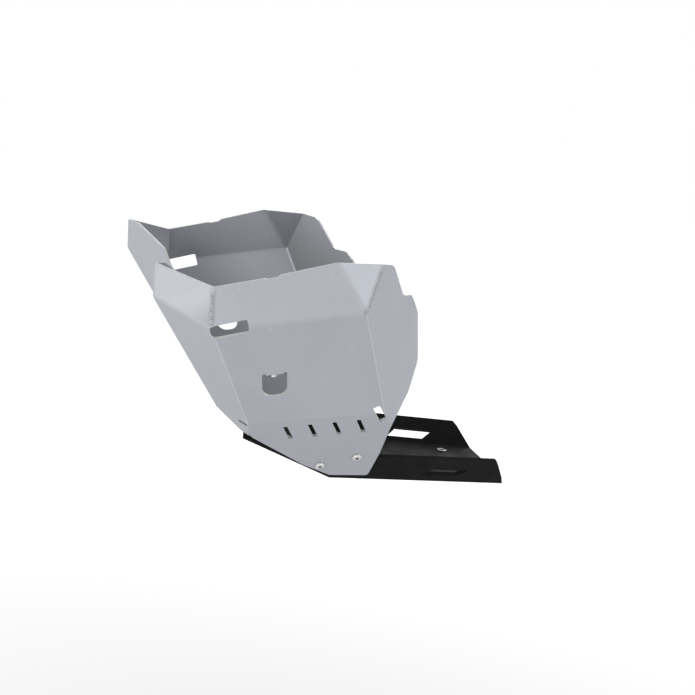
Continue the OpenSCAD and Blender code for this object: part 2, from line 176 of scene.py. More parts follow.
# the ramp's underside by three points, and the guard's feet on the ramp's upper face
ramp_a = vec(RAMP_X, 0, 0)
ramp_b = vec(RAMP_X, 50, 0)
ramp_c = vec(RAMP_X - 100, 0, 100 * RAMP_RISE)
STRIP_FRONT_X = 149
RIDGE_RUN = 34.4
RIDGE_FALL = 27.9
strip_front = on_strip(STRIP_FRONT_X, ramp_top(STRIP_FRONT_X))
wedge_n = inward(ridge_turn, side_front, strip_front)
ridge_dir = vec(RIDGE_RUN, -(wedge_n.x * RIDGE_RUN - wedge_n.z * RIDGE_FALL) / wedge_n.y, -RIDGE_FALL)
ridge_foot = meet(ridge_turn, ridge_dir, ramp_a, ramp_b, ramp_c, PLATE)
flange_dir = ridge_dir - (panel_low - ridge_turn) * (ridge_dir.y / (panel_low.y - ridge_turn.y))
panel_foot = meet(panel_low, flange_dir, ramp_a, ramp_b, ramp_c, PLATE)

# free edges by X and Z; each point's Y follows from its panel's plane
WING_TOP = [(95.9, 273.1), (125.4, 281.3), (129.2, 281.0), (140.4, 284.2), (144.5, 287.9), (208.2, 308.8)]
REAR_EDGE = [(283.7, 309.0), (288.5, 305.4), (311.1, 270.1), (314.9, 268.2), (327.3, 267.7),
             (335.5, 257.9), (345.1, 243.3), (361.2, 176.8), (352.5, 135.7)]
TAB_EDGE = [(230.6, 22.6), (271.7, 6.6), (324.4, 8.6), (328.6, 47.5)]
wing_top = [at_xz(seam_top, seam_low, wing_corner, x, z) for x, z in WING_TOP]
facet_top = wing_top[-1]
rear_edge = [at_xz(rear_top, wing_corner, side_rear, x, z) for x, z in REAR_EDGE]
tab_edge = [at_xz(strip_a, strip_b, strip_c, x, z) for x, z in TAB_EDGE]

# directions on the side panel and on the strip: u to the rear, v downward, n inward
side_u = (wing_corner - seam_low).normalized()
side_n = inward(seam_low, wing_corner, side_front)
side_v = side_n.cross(side_u)
strip_u = (side_rear - side_front).normalized()
strip_n = inward(strip_a, strip_b, strip_c)
strip_v = strip_n.cross(strip_u)

ARC_STEPS = 5
# an arc takes at most this share of either side of its corner
ARC_SHARE = 0.45


def rounded(points, radii):
    """Corner arcs on an open chain of points: radii maps a point's index to its radius."""
    out = []
    for i, p in enumerate(points):
        r = radii.get(i, 0)
        if not r or i in (0, len(points) - 1):
            out.append(p)
            continue
        before = points[i - 1] - p
        after = points[i + 1] - p
        u = before.normalized()
        v = after.normalized()
        half = u.angle(v) / 2
        reach = min(r / math.tan(half), before.length * ARC_SHARE, after.length * ARC_SHARE)
        start = p + u * reach
        end = p + v * reach
        for k in range(ARC_STEPS + 1):
            s = k / ARC_STEPS
            out.append(start * (1 - s) ** 2 + p * 2 * s * (1 - s) + end * s ** 2)
    return out


rear_chain = rounded([rear_top] + rear_edge + [strip_rear],
                     {1: 5, 2: 5, 3: 3, 4: 3, 5: 5, 6: 8, 7: 14, 8: 22, 9: 22})
tab_chain = rounded([strip_front] + tab_edge + [strip_rear], {1: 3, 2: 8, 3: 5, 4: 4})
wing_chain = rounded([seam_top] + wing_top, {1: 3, 2: 0.7, 3: 0.7, 4: 1, 5: 1.5})
cheek_chain = rounded([front_top, cheek_step, cheek_rise, cheek_dip, cheek_end], {2: 12, 3: 8})

GUARD_FACES = [
    cheek_chain + [panel_top, front_low],
    [front_low, panel_top, panel_low, ridge_turn],
    [ridge_turn, panel_low, panel_foot, ridge_foot],
    [front_top, front_low, seam_low, seam_top],
    [front_low, seam_low, side_front, ridge_turn],
    [ridge_turn, side_front, strip_front, ridge_foot],
    wing_chain + [wing_corner, seam_low],
    [facet_top, rear_top, wing_corner],
    [seam_low, wing_corner, side_rear, side_front],
    rear_chain + [side_rear, wing_corner],
    [side_front] + tab_chain + [side_rear],
]

# folds by their two ends and outer bend radius; the welded seams stay sharp
SHARP_BEND = 5.0
END_BEND = 6.0
WING_BEND = 20.0
WIDE_BEND = 30.0
SOFT_FOLDS = [
    (front_top, front_low, SHARP_BEND),
    (front_low, panel_top, BEND),
    (ridge_turn, panel_low, BEND),
    (front_low, seam_low, BEND),
    (front_low, ridge_turn, BEND),
    (seam_low, side_front, BEND),
    (ridge_turn, side_front, BEND),
    (ridge_turn, ridge_foot, BEND),
    (side_front, strip_front, END_BEND),
    (seam_low, wing_corner, WING_BEND),
    (facet_top, wing_corner, WIDE_BEND),
    (wing_corner, side_rear, BEND),
    (side_front, side_rear, WIDE_BEND),
    (side_rear, strip_rear, END_BEND),
]


# material helpers

def material(name, color, metallic, rough):
    mat = bpy.data.materials.new(name)
    mat.use_nodes = True
    bsdf = mat.node_tree.nodes["Principled BSDF"]
    bsdf.inputs["Base Color"].default_value = (*color, 1)
    bsdf.inputs["Metallic"].default_value = metallic
    bsdf.inputs["Roughness"].default_value = rough
    return mat, mat.node_tree, bsdf


def noise(tree, scale, detail=2.0):
    """Noise in the object's own space, with the given number of cells to the metre."""
    coord = tree.nodes.new("ShaderNodeTexCoord")
    tex = tree.nodes.new("ShaderNodeTexNoise")
    tex.inputs["Scale"].default_value = scale
    tex.inputs["Detail"].default_value = detail
    tree.links.new(coord.outputs["Object"], tex.inputs["Vector"])
    return tex.outputs["Fac"]


def ramp(tree, value, low, high, a, b):
    """The value's range from low to high, mapped to a to b."""
    node = tree.nodes.new("ShaderNodeMapRange")
    node.inputs["From Min"].default_value = low
    node.inputs["From Max"].default_value = high
    node.inputs["To Min"].default_value = a
    node.inputs["To Max"].default_value = b
    tree.links.new(value, node.inputs["Value"])
    return node.outputs["Result"]


# where most of a noise's values lie
NOISE_LOW = 0.3
NOISE_HIGH = 0.7


def mottle(tree, scale, detail, a, b):
    """Noise that runs from a to b."""
    return ramp(tree, noise(tree, scale, detail), NOISE_LOW, NOISE_HIGH, a, b)


def tinted(tree, color, factor):
    """Base colour multiplied by a grey factor from a node."""
    mix = tree.nodes.new("ShaderNodeMix")
    mix.data_type = "RGBA"
    mix.blend_type = "MULTIPLY"
    mix.inputs["Factor"].default_value = 1.0
    # inputs 6 and 7 and output 2 are the mix node's colour sockets
    mix.inputs[6].default_value = (*color, 1)
    comb = tree.nodes.new("ShaderNodeCombineColor")
    for i in range(3):
        tree.links.new(factor, comb.inputs[i])
    tree.links.new(comb.outputs["Color"], mix.inputs[7])
    return mix.outputs[2]


def math_node(tree, operation, a, b):
    node = tree.nodes.new("ShaderNodeMath")
    node.operation = operation
    tree.links.new(a, node.inputs[0])
    tree.links.new(b, node.inputs[1])
    return node.outputs["Value"]


def times(tree, a, b):
    return math_node(tree, "MULTIPLY", a, b)


# openness at which the painted shade is full, and at which it ends
SHADE_FULL = 0.4
SHADE_END = 0.97
SHADE_RAYS = 8


def painted_shade(tree, reach, darkest):
    """Painted shade for the base colour: 1 where the surface faces open space, falling to darkest where it
    is closed in.
    """
    node = tree.nodes.new("ShaderNodeAmbientOcclusion")
    node.samples = SHADE_RAYS
    node.inputs["Distance"].default_value = reach
    return ramp(tree, node.outputs["AO"], SHADE_FULL, SHADE_END, darkest, 1.0)


def bump(tree, bsdf, value, strength, distance):
    node = tree.nodes.new("ShaderNodeBump")
    node.inputs["Strength"].default_value = strength
    node.inputs["Distance"].default_value = distance
    tree.links.new(value, node.inputs["Height"])
    tree.links.new(node.outputs["Normal"], bsdf.inputs["Normal"])


# materials

def aluminium(name, color):
    """Satin sheet: fine speckle, broad clouds, a few bright specks, painted shade in the hollows and inside
    the guards.
    """
    mat, tree, bsdf = material(name, color, 0.35, 0.46)
    speckle = ramp(tree, noise(tree, 900, 1.0), 0.3, 0.75, 0.94, 1.05)
    cloud = mottle(tree, 9, 3.0, 0.97, 1.03)
    specks = ramp(tree, noise(tree, 170, 1.0), 0.74, 0.78, 1.0, 1.16)
    tone = times(tree, times(tree, speckle, cloud), times(tree, specks, painted_shade(tree, 0.55, 0.4)))
    tree.links.new(tinted(tree, color, tone), bsdf.inputs["Base Color"])
    tree.links.new(mottle(tree, 14, 3.0, 0.42, 0.5), bsdf.inputs["Roughness"])
    bump(tree, bsdf, noise(tree, 1400), 0.12, 0.0004)
    return mat


def cut_edge():
    """Cut rim of the sheet: its light tone is a painted highlight, with painted shade where it is closed
    in.
    """
    color = (0.88, 0.89, 0.91)
    mat, tree, bsdf = material("edge_painted_highlight", color, 0.1, 0.34)
    tree.links.new(tinted(tree, color, painted_shade(tree, 0.03, 0.35)), bsdf.inputs["Base Color"])
    tree.links.new(mottle(tree, 500, 2.0, 0.28, 0.42), bsdf.inputs["Roughness"])
    return mat


def weld_metal():
    """Bead in the sheet's tone, with painted shade in the grooves between its ripples."""
    color = (0.56, 0.58, 0.63)
    mat, tree, bsdf = material("weld_bead", color, 0.35, 0.45)
    tone = times(tree, mottle(tree, 300, 2.0, 0.85, 1.1), painted_shade(tree, 0.003, 0.12))
    tree.links.new(tinted(tree, color, tone), bsdf.inputs["Base Color"])
    bump(tree, bsdf, noise(tree, 600), 0.2, 0.0004)
    return mat


def black_plastic():
    color = (0.017, 0.017, 0.018)
    mat, tree, bsdf = material("black_belly", color, 0.0, 0.7)
    bsdf.inputs["Specular IOR Level"].default_value = 0.06
    tone = times(tree, mottle(tree, 1100, 1.0, 0.7, 1.4), mottle(tree, 12, 3.0, 0.85, 1.2))
    tree.links.new(tinted(tree, color, tone), bsdf.inputs["Base Color"])
    tree.links.new(mottle(tree, 60, 4.0, 0.62, 0.8), bsdf.inputs["Roughness"])
    bump(tree, bsdf, noise(tree, 500, 3.0), 0.25, 0.0005)
    return mat


# lighter tone for the belly plate's eased edges: a painted highlight
def black_edge_highlight():
    mat, tree, bsdf = material("black_edge_highlight", (0.045, 0.045, 0.048), 0.0, 0.35)
    tree.links.new(mottle(tree, 300, 2.0, 0.3, 0.42), bsdf.inputs["Roughness"])
    return mat


def zinc():
    """Zinc plating, with painted shade in the sockets and under the heads."""
    color = (0.66, 0.655, 0.65)
    mat, tree, bsdf = material("zinc_screw", color, 1.0, 0.26)
    tree.links.new(tinted(tree, color, painted_shade(tree, 0.003, 0.1)), bsdf.inputs["Base Color"])
    tree.links.new(mottle(tree, 400, 2.0, 0.2, 0.34), bsdf.inputs["Roughness"])
    return mat


def rubber():
    mat, tree, bsdf = material("black_spacer", (0.02, 0.02, 0.02), 0.0, 0.6)
    bump(tree, bsdf, noise(tree, 700), 0.2, 0.0003)
    return mat


ALU = aluminium("satin_aluminium", (0.58, 0.605, 0.66))
# lighter aluminium for the narrow faces round two folds: a painted highlight
FOLD_HIGHLIGHT = aluminium("fold_highlight_aluminium", (0.68, 0.705, 0.755))
# the rims' light tone is a painted highlight
EDGE = cut_edge()
WELD = weld_metal()
BLACK = black_plastic()
BLACK_EDGE = black_edge_highlight()
ZINC = zinc()
RUBBER = rubber()


# mesh helpers

def new_object(name, data):
    obj = bpy.data.objects.new(name, data)
    bpy.context.scene.collection.objects.link(obj)
    return obj


def to_mesh(bm, name):
    mesh = bpy.data.meshes.new(name)
    bm.to_mesh(mesh)
    bm.free()
    return mesh


def closed_mesh(bm, name):
    """Mesh of a closed surface with all faces turned outward."""
    bmesh.ops.recalc_face_normals(bm, faces=bm.faces)
    return to_mesh(bm, name)


def apply_modifiers(obj):
    """Apply the object's modifiers."""
    deps = bpy.context.evaluated_depsgraph_get()
    mesh = bpy.data.meshes.new_from_object(obj.evaluated_get(deps))
    obj.modifiers.clear()
    obj.data = mesh


def smooth(obj, angle):
    """Round shading over the bends, flat shading over the large faces."""
    for poly in obj.data.polygons:
        poly.use_smooth = True
    obj.data.set_sharp_from_angle(angle=math.radians(angle))
    mod = obj.modifiers.new("even", "WEIGHTED_NORMAL")
    mod.mode = "FACE_AREA"
    mod.weight = 100
    mod.keep_sharp = True
    apply_modifiers(obj)


def bevel(obj, width, segments, angle):
    """Ease the edges sharper than angle; the easing takes the second slot's look."""
    mod = obj.modifiers.new("edge", "BEVEL")
    mod.material = 1 if len(obj.data.materials) > 1 else -1
    mod.width = width * MM
    mod.segments = segments
    mod.limit_method = "ANGLE"
    mod.angle_limit = math.radians(angle)
    mod.miter_outer = "MITER_ARC"
    mod.use_clamp_overlap = True
    apply_modifiers(obj)


def prism(points, direction, out, depth):
    """Closed prism through a flat outline, from out before it to depth after it."""
    bm = bmesh.new()
    low = [bm.verts.new(to_frame(p - direction * out)) for p in points]
    high = [bm.verts.new(to_frame(p + direction * depth)) for p in points]
    n = len(points)
    bm.faces.new(low)
    bm.faces.new(high[::-1])
    for i in range(n):
        j = (i + 1) % n
        bm.faces.new([low[j], low[i], high[i], high[j]])
    return closed_mesh(bm, "prism")


def ring(at, u, v, r, turns):
    """Points on a circle round at, in the plane of u and v."""
    return [at + (u * math.cos(t) + v * math.sin(t)) * r for t in turns]


def joined(meshes, name):
    bm = bmesh.new()
    for mesh in meshes:
        bm.from_mesh(mesh)
    return to_mesh(bm, name)


def two_faced(obj, face, edge):
    """Faces in the first slot, cut edges in the second."""
    obj.data.materials.append(face)
    obj.data.materials.append(edge)


def mirrored_mesh(mesh, name):
    out = mesh.copy()
    out.name = name
    out.transform(Matrix.Scale(-1, 4, Vector((0, 1, 0))))
    out.flip_normals()
    return out


def cut(obj, meshes):
    """Take the meshes out of the object; the cut faces get the second slot's look."""
    cutter = new_object("cutter", joined(meshes, "cutter"))
    for mat in obj.data.materials:
        cutter.data.materials.append(mat)
    if len(obj.data.materials) > 1:
        for poly in cutter.data.polygons:
            poly.material_index = 1
    mod = obj.modifiers.new("cut", "BOOLEAN")
    mod.operation = "DIFFERENCE"
    mod.solver = "EXACT"
    mod.object = cutter
    apply_modifiers(obj)
    bpy.data.objects.remove(cutter)


# folded sheet

def newell(points):
    """Unit normal of a flat outline."""
    n = Vector((0, 0, 0))
    for p, q in zip(points, points[1:] + points[:1]):
        n += p.cross(q)
    return n.normalized()


# cosine above which two panels count as one plane
ONE_PLANE = 0.9999


def offset(normals, thick):
    """Step from a corner to the same corner of the sheet's inner face."""
    apart = []
    for n in normals:
        if all(n.dot(m) < ONE_PLANE for m in apart):
            apart.append(n)
    if len(apart) == 1:
        return apart[0] * thick
    if len(apart) == 2:
        return (apart[0] + apart[1]) * (thick / (1 + apart[0].dot(apart[1])))
    square = Matrix(((0, 0, 0), (0, 0, 0), (0, 0, 0)))
    right = Vector((0, 0, 0))
    for n in apart:
        for r in range(3):
            for c in range(3):
                square[r][c] += n[r] * n[c]
        right += n * thick
    return square.inverted() @ right


class Shell:
    """Sheet of even thickness laid inside a set of flat faces that share their corners."""

    # corners nearer than this are one corner, and no inner bend is tighter than this
    SAME_POINT = 1e-3
    TIGHTEST = 0.8

    def __init__(self, faces, thick):
        self.points = []
        self.normals = []
        self.faces = []
        for face in faces:
            n = newell(face)
            n = n if n.dot(INSIDE - face[0]) > 0 else -n
            ids = [self.find(p) for p in face]
            for i in ids:
                self.normals[i].append(n)
            self.faces.append((ids, n))
        self.inner = [p + offset(ns, thick) for p, ns in zip(self.points, self.normals)]

    def find(self, p):
        """Index of the corner at p, which is added where it is new."""
        for i, q in enumerate(self.points):
            if (q - p).length < self.SAME_POINT:
                return i
        self.points.append(p)
        self.normals.append([])
        return len(self.points) - 1

    def bend_edges(self, folds, thick):
        """Outer and inner fold lines with the width each is eased by."""
        out = []
        for a, b, radius in folds:
            i = self.find(a)
            j = self.find(b)
            pair = [n for ids, n in self.faces if i in ids and j in ids]
            half = math.tan(pair[0].angle(pair[1]) / 2)
            out.append((self.points[i], self.points[j], radius * half))
            out.append((self.inner[i], self.inner[j], max(radius - thick, self.TIGHTEST) * half))
        return out

    def mesh(self, name):
        """Outer and inner faces, closed along every edge that only one face has."""
        bm = bmesh.new()
        outer = [bm.verts.new(to_frame(p)) for p in self.points]
        inner = [bm.verts.new(to_frame(p)) for p in self.inner]
        used = {}
        for ids, _ in self.faces:
            bm.faces.new([outer[i] for i in ids])
            bm.faces.new([inner[i] for i in ids[::-1]])
            for i, j in zip(ids, ids[1:] + ids[:1]):
                key = (min(i, j), max(i, j))
                used[key] = used.get(key, 0) + 1
        for (i, j), count in used.items():
            if count == 1:
                bm.faces.new([outer[i], outer[j], inner[j], inner[i]]).material_index = 1
        return closed_mesh(bm, name)


# share of a fold's length by which a point may lie past its ends
END_SLACK = 0.01


def on_segment(p, a, b, gap=0.05):
    """Whether p lies within gap of the segment from a to b."""
    d = b - a
    s = (p - a).dot(d) / d.length_squared
    return -END_SLACK < s < 1 + END_SLACK and (a + d * s - p).length < gap


def ease_folds(obj, lines, segments=6):
    """Round every edge that lies on one of the fold lines by that line's width."""
    widest = max(w for a, b, w in lines)
    bm = bmesh.new()
    bm.from_mesh(obj.data)
    layers = bm.edges.layers.float
    weight = layers.get("bevel_weight_edge") or layers.new("bevel_weight_edge")
    for edge in bm.edges:
        ends = [from_frame(v.co) for v in edge.verts]
        for a, b, w in lines:
            if all(on_segment(p, a, b) for p in ends):
                edge[weight] = w / widest
    bm.to_mesh(obj.data)
    bm.free()
    mod = obj.modifiers.new("bends", "BEVEL")
    mod.limit_method = "WEIGHT"
    mod.width = widest * MM
    mod.segments = segments
    mod.offset_type = "OFFSET"
    mod.use_clamp_overlap = False
    apply_modifiers(obj)


# half width of the painted highlight line along a fold, its material slot, and the cosine below which a
# face counts as bent
HIGHLIGHT_HALF_WIDTH = 1.6
HIGHLIGHT_SLOT = 2
BENT = 0.9995


def paint_fold_highlight(obj, folds):
    """Give the narrow outer faces that round the named folds a lighter material: a painted highlight along
    each fold.
    """
    for poly in obj.data.polygons:
        at = from_frame(poly.center)
        for a, b, na, nb in folds:
            outside = max(poly.normal.dot(na), poly.normal.dot(nb)) < 0
            flat = max(abs(poly.normal.dot(na)), abs(poly.normal.dot(nb)))
            if outside and flat < BENT and on_segment(at, a, b, HIGHLIGHT_HALF_WIDTH):
                poly.material_index = HIGHLIGHT_SLOT


# openings in the guard

WINDOW_HALF = 15.5
WINDOW_DEPTH = 36.0
WINDOW_R = 13.0
WINDOW_STEPS = 8
# how far the window's foot stands to the rear of its sides
WINDOW_SHIFT = 1.5
# radius of the round notch at either end of the flap's bend
NOTCH = 2.6
NOTCH_STEPS = 6
# middle of the window's top edge, from the front seam's foot
WINDOW_ALONG = 74.2
WINDOW_DOWN = 80.7
window_at = seam_low + side_u * WINDOW_ALONG + side_v * WINDOW_DOWN


def window_outline():
    """U shape below the flap, with a round notch on either side of the flap."""
    pts = []

    def put(x, y):
        pts.append(window_at + side_u * x + side_v * y)

    for s in (-1, 1):
        centre = s * (WINDOW_HALF - NOTCH)
        for k in range(NOTCH_STEPS + 1):
            a = math.pi * (k / NOTCH_STEPS)
            put(centre - NOTCH * math.cos(a), -NOTCH * math.sin(a))
    for corner in (0, 1):
        middle = (WINDOW_HALF - WINDOW_R) * (1 - 2 * corner)
        for k in range(WINDOW_STEPS + 1):
            turned = k / WINDOW_STEPS
            a = math.pi / 2 * (corner + turned)
            shift = WINDOW_SHIFT * (1 - turned if corner else turned)
            put(middle + WINDOW_R * math.cos(a) + shift, WINDOW_DEPTH - WINDOW_R + WINDOW_R * math.sin(a))
    return pts


def closed_round(corners, r):
    """Closed outline with the same radius at every corner."""
    chain = [corners[-1]] + corners + [corners[0]]
    arcs = rounded(chain, {i: r for i in range(1, len(corners) + 1)})
    return arcs[1:-1]


SLOTS = 4
SLOT_PITCH = 31.4
SLOT_W = 6.2
SLOT_H = 25.8
# run to the rear over the slot's depth, and corner radius
SLOT_SLANT = 0.4 * SLOT_H
SLOT_R = 1.3
# place of the first slot along and below the fold, and the row's rise from slot to slot
SLOT_FIRST = 45.3
SLOT_DOWN = 12.2
SLOT_RISE = 1.1


def slot_outline(i):
    at = side_front + strip_u * (SLOT_FIRST + SLOT_PITCH * i) + strip_v * (SLOT_DOWN - SLOT_RISE * i)
    low_front = at + strip_u * SLOT_SLANT + strip_v * SLOT_H
    low_rear = at + strip_u * (SLOT_W + SLOT_SLANT) + strip_v * SLOT_H
    return closed_round([at, at + strip_u * SLOT_W, low_rear, low_front], SLOT_R)


def halfway(na, nb, u):
    """Plane halfway between two panels: its normal, u laid into it, and the third direction."""
    n = (na + nb).normalized()
    flat_u = (u - n * u.dot(n)).normalized()
    return n, flat_u, n.cross(flat_u)


# openings across a fold, as corners in millimetres along and across it: one at the lower side
# fold's rear end, one at the lower front corner, and the relief opening under the front seam
REAR_SLOT_AT = 159.3
REAR_SLOT = [(0, -10), (8.6, -14.6), (20.5, 10.5), (12.2, 15)]
REAR_SLOT_R = 1.6
FRONT_SLOT_Y = -173.6
FRONT_SLOT_Z = 86.2
FRONT_SLOT = [(-6, -2.2), (6, -1.0), (6, 3.4), (-6, 2.2)]
FRONT_SLOT_R = 1.2
RELIEF_LEN = 45.0
RELIEF_H = 17.2
RELIEF_R = 3.0
RELIEF_TURN = math.radians(-5.5)
# place of the relief opening's first corner from the front seam's foot
RELIEF_X = -1
RELIEF_Y = -3.4


def rear_slot_outline():
    n, u, v = halfway(strip_n, side_n, strip_u)
    at = side_front + strip_u * REAR_SLOT_AT
    return closed_round([at + u * x + v * y for x, y in REAR_SLOT], REAR_SLOT_R), n


def front_slot_outline():
    front_n = inward(front_low, seam_low, ridge_turn)
    n, u, v = halfway(front_n, wedge_n, (side_front - ridge_turn).normalized())
    at = at_yz(front_low, seam_low, ridge_turn, FRONT_SLOT_Y, FRONT_SLOT_Z)
    return closed_round([at + u * x + v * y for x, y in FRONT_SLOT], FRONT_SLOT_R), n


def relief_outline():
    """Opening across the wing's fold at the foot of the front seam."""
    n, u, v = halfway(inward(seam_top, seam_low, wing_corner), side_n, side_u)
    far_x = RELIEF_LEN + RELIEF_X
    far_y = RELIEF_H + RELIEF_Y
    pts = []
    for x, y in ((RELIEF_X, RELIEF_Y), (far_x, RELIEF_Y), (far_x, far_y), (RELIEF_X, far_y)):
        px = x * math.cos(RELIEF_TURN) - y * math.sin(RELIEF_TURN)
        py = x * math.sin(RELIEF_TURN) + y * math.cos(RELIEF_TURN)
        pts.append(seam_low + u * px + v * py)
    return closed_round(pts, RELIEF_R), n


# screw holes: radius, sides of their outline, and the tab's two holes by X and Z
HOLE_R = 3.3
HOLE_STEPS = 24
TAB_SCREWS = [(253.6, 22.1), (299.8, 39.1)]
tab_points = [at_xz(strip_a, strip_b, strip_c, x, z) for x, z in TAB_SCREWS]


def disc(at, n):
    """Outline of a screw hole."""
    u = n.orthogonal().normalized()
    turns = [2 * math.pi * k / HOLE_STEPS for k in range(HOLE_STEPS)]
    return ring(at, u, n.cross(u), HOLE_R, turns)


# how far each cutter starts outside the outer face, and how far it goes in
WINDOW_CUT = (6, 10)
SLOT_CUT = (6, 12)
FOLD_CUT = (14, 16)
HOLE_CUT = (5, 8)


def guard_cutters():
    out = [prism(window_outline(), side_n, *WINDOW_CUT)]
    out += [prism(slot_outline(i), strip_n, *SLOT_CUT) for i in range(SLOTS)]
    out += [prism(outline, n, *FOLD_CUT) for outline, n in (rear_slot_outline(), relief_outline())]
    out += [prism(disc(p, strip_n), strip_n, *HOLE_CUT) for p in tab_points]
    return out


# sheet pieces

# easing of the cut rims, and the angle from which an edge is a rim and not a bend
GUARD_RIM = 0.9
FLAP_RIM = 0.5
RIM_ANGLE = 50


def make_guard():
    shell = Shell(GUARD_FACES, SHEET)
    obj = new_object("left_guard_sheet", shell.mesh("left_guard_sheet"))
    two_faced(obj, ALU, EDGE)
    outline, n = front_slot_outline()
    cut(obj, [prism(outline, n, *FOLD_CUT)])
    ease_folds(obj, shell.bend_edges(SOFT_FOLDS, SHEET))
    # the faces round two outer folds take the lighter material, a painted highlight
    obj.data.materials.append(FOLD_HIGHLIGHT)
    front_n = inward(front_low, seam_low, ridge_turn)
    rear_n = inward(rear_top, wing_corner, side_rear)
    highlit_folds = [(seam_low, side_front, front_n, side_n), (wing_corner, side_rear, side_n, rear_n)]
    paint_fold_highlight(obj, highlit_folds)
    cut(obj, guard_cutters())
    bevel(obj, GUARD_RIM, 2, RIM_ANGLE)
    return obj


FLAP_W = 20.0
FLAP_LEN = 27.0
FLAP_BEND = 4.0
FLAP_STEPS = 6
# start of the flap above the window's top edge, and its tip's distance short of its length
FLAP_START = 3
FLAP_SHORT = 2
FLAP_HOLE_CUT = (6, 12)
# place of the flap's hole as a share of its length
FLAP_HOLE = 0.55
flap_up = side_u.cross(vec(0, 1, 0)).normalized()
flap_up = flap_up if flap_up.z > 0 else -flap_up
flap_dir = flap_up.cross(side_u)
flap_dir = flap_dir if flap_dir.y > 0 else -flap_dir
flap_mid = window_at + flap_dir * (FLAP_LEN * FLAP_HOLE)


def make_flap():
    """Strip bent in from the window's top edge: down the sheet's line, then level and inward."""
    corner = window_at + side_n * SHEET / 2
    reach = FLAP_BEND * math.tan(side_v.angle(flap_dir) / 2)
    middle = [window_at - side_v * FLAP_START + side_n * SHEET / 2]
    for k in range(FLAP_STEPS + 1):
        s = k / FLAP_STEPS
        a = corner - side_v * reach
        b = corner + flap_dir * reach
        middle.append(a * (1 - s) ** 2 + corner * 2 * s * (1 - s) + b * s ** 2)
    middle.append(corner + flap_dir * (FLAP_LEN - FLAP_SHORT))
    profile = []
    for i, p in enumerate(middle):
        t = (middle[min(i + 1, len(middle) - 1)] - middle[max(i - 1, 0)]).normalized()
        profile.append((p, side_u.cross(t).normalized()))
    outline = [p + n * SHEET / 2 for p, n in profile] + [p - n * SHEET / 2 for p, n in profile[::-1]]
    outline = [p - side_u * FLAP_W / 2 for p in outline]
    obj = new_object("flap_left", prism(outline, side_u, 0, FLAP_W))
    two_faced(obj, ALU, EDGE)
    cut(obj, [prism(disc(flap_mid, flap_up), flap_up, *FLAP_HOLE_CUT)])
    bevel(obj, FLAP_RIM, 2, RIM_ANGLE)
    return obj


# weld beads: overlapping ripples along a seam

BEAD_HALF = 2.8
BEAD_HIGH = 1.9
BEAD_PITCH = 3.0
# how far a ripple's crown runs ahead of its sides, and how deep the bead sits in its seam
BEAD_BOW = 0.9
BEAD_SUNK = 0.9
RIPPLE_STEPS = 6
BEAD_SIDES = 14


def make_bead(name, a, b, na, nb):
    """Row of crescent ripples: steep at the front of each, sloping off to the next."""
    d = (b - a).normalized()
    out = -(na + nb).normalized()
    across = d.cross(out)
    length = (b - a).length
    count = int(length / BEAD_PITCH) * RIPPLE_STEPS
    bm = bmesh.new()
    rows = []
    for i in range(count + 1):
        # a ripple falls to half its height, no two are quite alike, and the bead swells from its ends
        phase = (i % RIPPLE_STEPS) / RIPPLE_STEPS
        ripple = 0.5 + 0.5 * (1 - phase) ** 0.7 + 0.05 * math.sin(i // RIPPLE_STEPS * 2.3)
        from_end = min(i, count - i) / RIPPLE_STEPS
        high = ripple * min(1.0, 0.45 + 0.4 * from_end)
        wide = BEAD_HALF * (0.86 + 0.14 * ripple)
        row = []
        for k in range(BEAD_SIDES + 1):
            ang = math.pi * k / BEAD_SIDES
            lateral = math.cos(ang)
            bow = BEAD_BOW * (1 - lateral * lateral)
            p = a + d * (i / count * length + bow)
            p = p + across * (lateral * wide) + out * (math.sin(ang) * BEAD_HIGH * high)
            row.append(bm.verts.new(to_frame(p - out * BEAD_SUNK)))
        rows.append(row)
    for low, up in zip(rows, rows[1:]):
        for k in range(BEAD_SIDES):
            bm.faces.new([low[k], low[k + 1], up[k + 1], up[k]])
        bm.faces.new([up[BEAD_SIDES], up[0], low[0], low[BEAD_SIDES]])
    bm.faces.new(rows[0][::-1])
    bm.faces.new(rows[-1])
    return new_object(name, closed_mesh(bm, name))


# screws

# shank's radius, and the width and length of its chamfer
SHANK_R = 3.0
SHANK_STEP = 0.5
SHANK_POINT = 0.6
# six-sided socket: radius, depth from just below the head's top, and the cutter's reach outside
SOCKET_R = 2.3
SOCKET_DEPTH = 1.6
SOCKET_BELOW = 0.3
SOCKET_OUT = 4
# turn of the first socket in radians, and how much further each next one is turned
FIRST_TURN = 0.3
NEXT_TURN = 0.5
HEAD_EASE = 0.18
LATHE_STEPS = 36


def lathe(profile, at, axis):
    """Closed solid of revolution: profile is (radius, height) pairs, height along axis."""
    u = axis.orthogonal().normalized()
    v = axis.cross(u)
    turns = [2 * math.pi * k / LATHE_STEPS for k in range(LATHE_STEPS)]
    bm = bmesh.new()
    rings = []
    for r, h in profile:
        base = at + axis * h
        places = [base] if r == 0 else ring(base, u, v, r, turns)
        rings.append([bm.verts.new(to_frame(p)) for p in places])
    for ra, rb in zip(rings, rings[1:]):
        for k in range(LATHE_STEPS):
            j = (k + 1) % LATHE_STEPS
            if len(ra) == 1:
                bm.faces.new([ra[0], rb[k], rb[j]])
            elif len(rb) == 1:
                bm.faces.new([ra[k], ra[j], rb[0]])
            else:
                bm.faces.new([ra[k], ra[j], rb[j], rb[k]])
    return closed_mesh(bm, "lathe")


